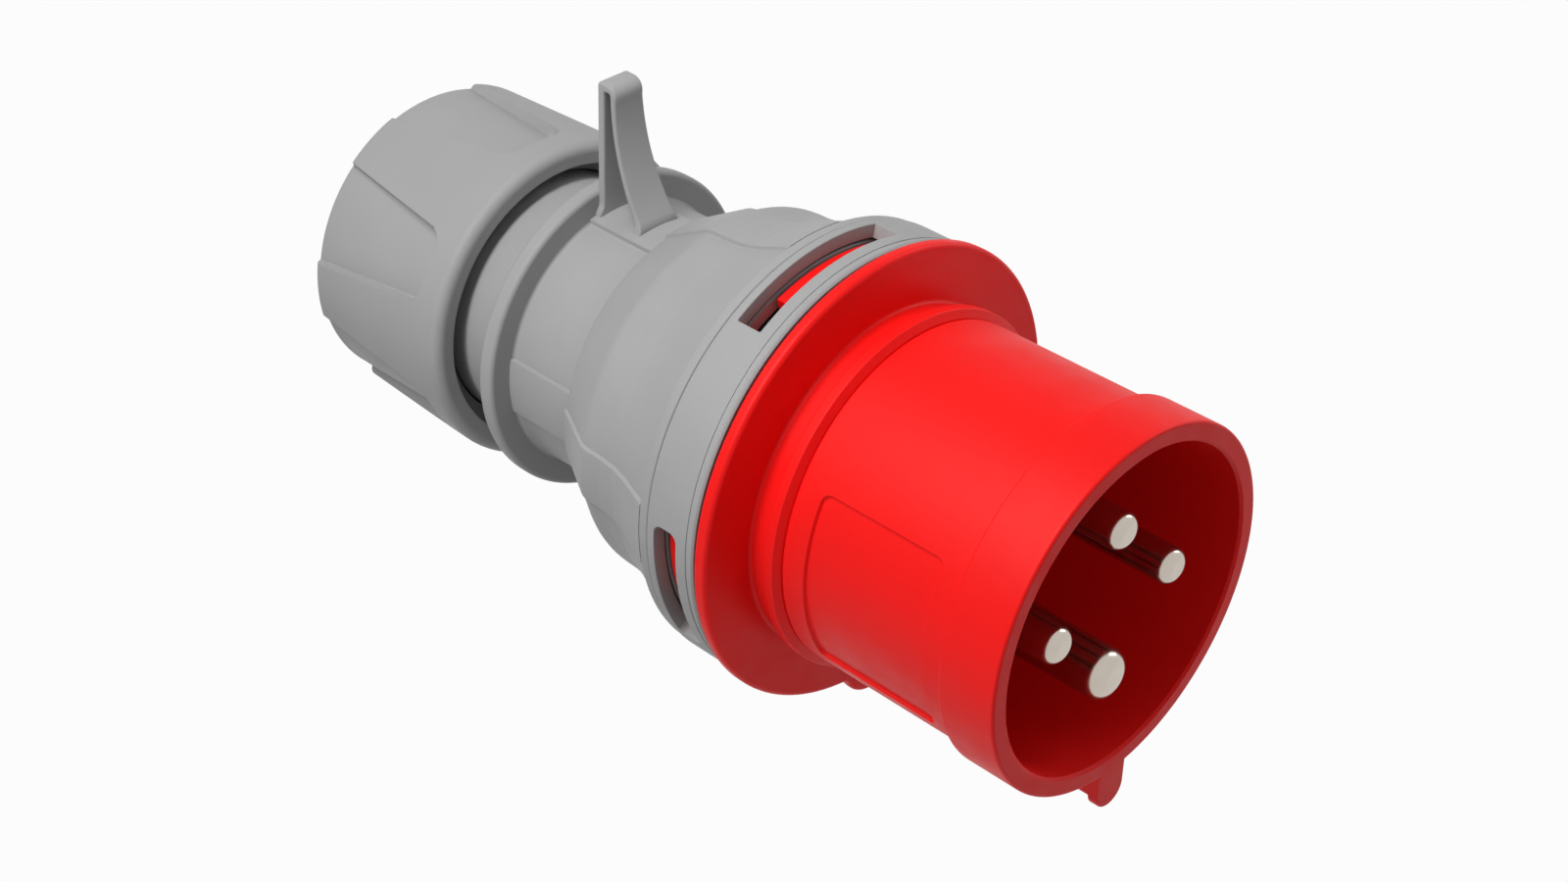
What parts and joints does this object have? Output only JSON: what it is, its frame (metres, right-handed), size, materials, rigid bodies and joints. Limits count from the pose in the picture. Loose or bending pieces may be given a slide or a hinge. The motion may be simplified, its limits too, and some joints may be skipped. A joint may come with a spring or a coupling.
{
  "type": "industrial pin and sleeve plug",
  "caption": "Industrial pin and sleeve plug: round shroud with contact pins and key, bayonet lock ring, grey housing with retaining hook and a screwed cable gland.",
  "frame": {"origin": "centre of the cable hole at the rear end of the gland nut", "axes": "+Z along the plug's axis from the gland nut to the contact pins; +X towards the retaining hook"},
  "size_m": [0.0745, 0.0636, 0.1284],
  "materials": {
    "red_plastic": "satin",
    "grey_plastic": "matte",
    "carrier_plastic": "matte",
    "cage_plastic": "matte",
    "seal_rubber": "matte",
    "nickel_brass": "satin",
    "screw_steel": "satin"
  },
  "bodies": {
    "plug": {"front_shroud": "red_plastic", "contact_carrier": "carrier_plastic", "carrier_screws": "screw_steel", "terminal_screws": "screw_steel", "front_seal": "seal_rubber", "housing": "grey_plastic", "clamp_cage": "cage_plastic", "cable_seal": "seal_rubber", "pin_l1": "nickel_brass", "clamp_plate_l1": "screw_steel", "pin_l2": "nickel_brass", "clamp_plate_l2": "screw_steel", "pin_l3": "nickel_brass", "clamp_plate_l3": "screw_steel", "pin_earth": "nickel_brass", "clamp_plate_earth": "screw_steel"},
    "lock_ring": {"lock_ring": "grey_plastic"},
    "gland_washer": {"gland_washer": "cage_plastic"},
    "gland_nut": {"gland_nut": "grey_plastic"}
  },
  "joints": [
    {"name": "lock_ring_turn", "type": "hinge", "parent": "plug", "child": "lock_ring", "pos_m": [0, 0, 0.0815], "axis": [0, 0, 1], "range_deg": [0, 38]},
    {"name": "gland_slide", "type": "slide", "parent": "plug", "child": "gland_washer", "axis": [0, 0, 1], "range_m": [-0.009, 0.0027]},
    {"name": "gland_turn", "type": "hinge", "parent": "gland_washer", "child": "gland_nut", "pos_m": [0, 0, 0.014], "axis": [0, 0, 1], "range_deg": [-1085, 330]}
  ],
  "couplings": [
    {"joint": "gland_turn", "follows": "gland_slide", "rad_per_m": 2094.4}
  ]
}
